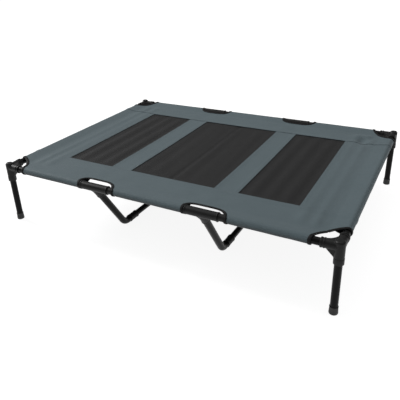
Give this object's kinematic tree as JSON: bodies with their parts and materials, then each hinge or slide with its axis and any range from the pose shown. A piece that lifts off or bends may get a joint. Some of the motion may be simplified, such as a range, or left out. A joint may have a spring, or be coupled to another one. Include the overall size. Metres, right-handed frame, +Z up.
{
  "type": "dog bed with frame",
  "caption": "Low rectangular pet cot: a fabric sling with mesh windows stretched on a tubular frame with corner legs and U-shaped cross supports that stand on the floor.",
  "frame": {"origin": "on the floor under the middle of the bed", "axes": "+X along the long side to the right, +Y to the back, +Z up"},
  "size_m": [1.2208, 0.9028, 0.232],
  "materials": {
    "tube_steel": "semi-gloss black powder coat",
    "connector_plastic": "satin moulded black",
    "sleeve_plastic": "satin moulded black",
    "foot_rubber": "matt black",
    "coupler_steel": "zinc plated",
    "cover_canvas": "slate grey woven polyester, coated",
    "window_mesh": "charcoal vinyl-coated open mesh",
    "binding_tape": "black woven binding tape"
  },
  "bodies": {
    "root": {"front_left_corner_connector": "connector_plastic", "front_left_leg_tube": "tube_steel", "front_left_foot_cap": "foot_rubber", "front_left_corner_binding": "binding_tape", "front_right_corner_connector": "connector_plastic", "front_right_leg_tube": "tube_steel", "front_right_foot_cap": "foot_rubber", "front_right_corner_binding": "binding_tape", "back_right_corner_connector": "connector_plastic", "back_right_leg_tube": "tube_steel", "back_right_foot_cap": "foot_rubber", "back_right_corner_binding": "binding_tape", "back_left_corner_connector": "connector_plastic", "back_left_leg_tube": "tube_steel", "back_left_foot_cap": "foot_rubber", "back_left_corner_binding": "binding_tape", "front_rail_left_tube": "tube_steel", "front_rail_middle_tube": "tube_steel", "front_rail_right_tube": "tube_steel", "front_left_tee_connector": "connector_plastic", "front_left_tee_binding": "binding_tape", "front_right_tee_connector": "connector_plastic", "front_right_tee_binding": "binding_tape", "back_rail_left_tube": "tube_steel", "back_rail_middle_tube": "tube_steel", "back_rail_right_tube": "tube_steel", "back_left_tee_connector": "connector_plastic", "back_left_tee_binding": "binding_tape", "back_right_tee_connector": "connector_plastic", "back_right_tee_binding": "binding_tape", "left_rail_front_tube": "tube_steel", "left_rail_back_tube": "tube_steel", "left_rail_coupler": "coupler_steel", "left_support_front_tube": "tube_steel", "left_support_back_tube": "tube_steel", "left_support_floor_tube": "tube_steel", "left_support_front_sleeve": "sleeve_plastic", "left_support_back_sleeve": "sleeve_plastic", "right_rail_front_tube": "tube_steel", "right_rail_back_tube": "tube_steel", "right_rail_coupler": "coupler_steel", "right_support_front_tube": "tube_steel", "right_support_back_tube": "tube_steel", "right_support_floor_tube": "tube_steel", "right_support_front_sleeve": "sleeve_plastic", "right_support_back_sleeve": "sleeve_plastic", "cover_front_band": "cover_canvas", "cover_back_band": "cover_canvas", "cover_left_panel": "cover_canvas", "cover_right_panel": "cover_canvas", "cover_left_strip": "cover_canvas", "cover_right_strip": "cover_canvas", "mesh_left_window": "window_mesh", "mesh_right_window": "window_mesh", "mesh_centre_left_window": "window_mesh", "mesh_centre_right_window": "window_mesh"}
  },
  "joints": []
}
